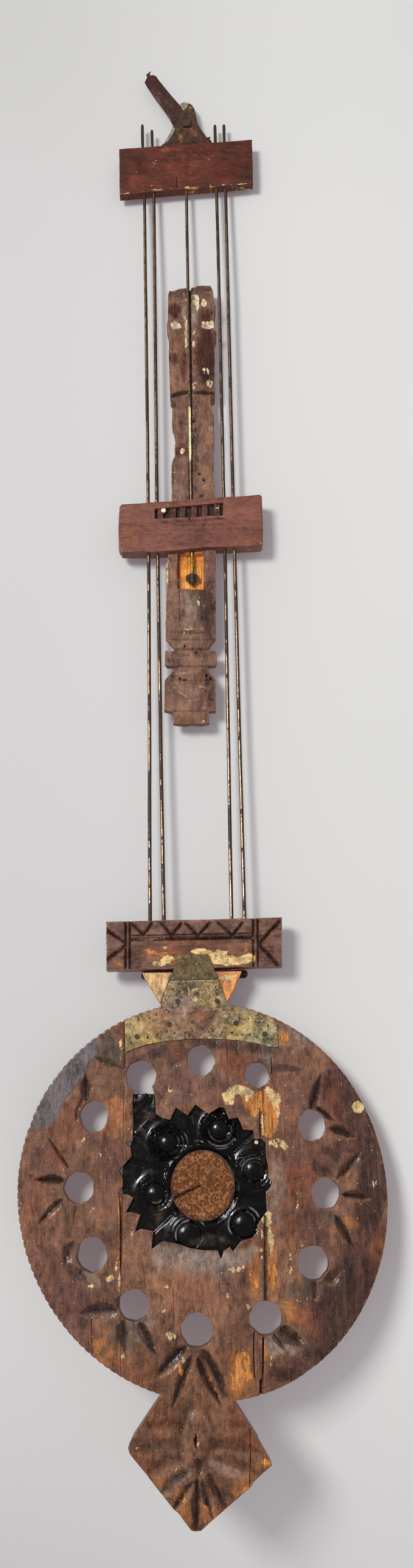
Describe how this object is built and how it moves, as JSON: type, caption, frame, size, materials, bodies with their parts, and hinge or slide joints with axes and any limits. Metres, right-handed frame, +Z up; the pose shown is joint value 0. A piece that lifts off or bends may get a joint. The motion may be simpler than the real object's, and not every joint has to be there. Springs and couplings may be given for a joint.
{
  "type": "clock pendulum",
  "caption": "Clock pendulum with a turning suspension arm, wooden cross bars on brass wires, a carved baluster, a rating nut and a pierced round wooden bob with a pointed finial.",
  "frame": {"origin": "axis of the rivet on which the suspension arm turns, at the mid plane of the wires", "axes": "+Z up along the hanging pendulum, -Y towards the viewer of the carved front, +X to the viewer's right"},
  "size_m": [0.2514, 0.0249, 1.1843],
  "materials": {
    "red_wood": "aged reddish brown stain, dull",
    "rose_wood": "aged pinkish brown stain, dull",
    "carved_wood": "figured dark varnish, worn at the lower edge",
    "bob_wood": "dark cracked varnish with worn bare patches",
    "batten_wood": "dark stained",
    "bare_wood": "stripped paint over worn wood",
    "cork_wood": "rough end grain",
    "black_lacquer": "gloss black lacquer",
    "brass_wire": "dark brown patina with a bright line of shine",
    "bright_brass": "rubbed bright",
    "olive_brass": "olive patina",
    "green_brass": "olive patina with verdigris",
    "maroon_iron": "maroon brown rust",
    "iron": "dark brown oxide",
    "bone": "white bone"
  },
  "bodies": {
    "hanger": {"top_bar": "red_wood", "bracket_front_cheek": "olive_brass", "bracket_rear_cheek": "green_brass", "bracket_rivet": "olive_brass", "bracket_pin_left": "iron", "bracket_pin_right": "iron", "centre_rod": "brass_wire"},
    "arm": {"suspension_arm": "maroon_iron"},
    "lower_frame": {"left_outer_rod": "brass_wire", "left_inner_rod": "brass_wire", "right_inner_rod": "brass_wire", "right_outer_rod": "brass_wire", "middle_bar": "rose_wood", "slot_comb": "rose_wood", "slot_pin": "bone", "baluster": "bare_wood", "baluster_strap": "olive_brass", "strap_nail_left": "iron", "strap_nail_right": "iron", "rod_sleeve": "bright_brass", "bottom_bar": "carved_wood", "bob_left_board": "bob_wood", "bob_centre_board": "bob_wood", "bob_right_board": "bob_wood", "upper_batten": "batten_wood", "lower_batten": "batten_wood", "upper_batten_nail_1": "iron", "upper_batten_nail_2": "iron", "upper_batten_nail_3": "iron", "upper_batten_nail_4": "iron", "lower_batten_nail_1": "iron", "lower_batten_nail_2": "iron", "lower_batten_nail_3": "iron", "lower_batten_nail_4": "iron", "rosette_ring": "black_lacquer", "rosette_plug": "cork_wood", "rosette_nail_left": "iron", "rosette_nail_right": "iron", "neck_dowel": "batten_wood", "dowel_nail_left": "iron", "dowel_nail_right": "iron", "neck_plate_upper": "olive_brass", "neck_plate_lower": "green_brass", "neck_plate_rivet": "olive_brass", "neck_plate_nail_top_left": "iron", "neck_plate_nail_top_right": "iron", "neck_plate_nail_left_inner": "iron", "neck_plate_nail_left_outer": "iron", "neck_plate_nail_right_inner": "iron", "neck_plate_nail_right_outer": "iron"},
    "nut": {"rating_nut": "iron"}
  },
  "joints": [
    {"name": "arm_swing", "type": "hinge", "parent": "hanger", "child": "arm", "pos_m": [0, 0, 0], "axis": [0, 1, 0], "range_deg": [-40, 95]},
    {"name": "frame_travel", "type": "slide", "parent": "hanger", "child": "lower_frame", "axis": [0, 0, 1], "range_m": [-0.0021, 0.0021]},
    {"name": "nut_turn", "type": "hinge", "parent": "lower_frame", "child": "nut", "pos_m": [-0.001, 0, -0.457], "axis": [0, 0, 1], "range_deg": [-1084, 1084]}
  ],
  "couplings": [
    {"joint": "nut_turn", "follows": "frame_travel", "rad_per_m": 8976}
  ]
}
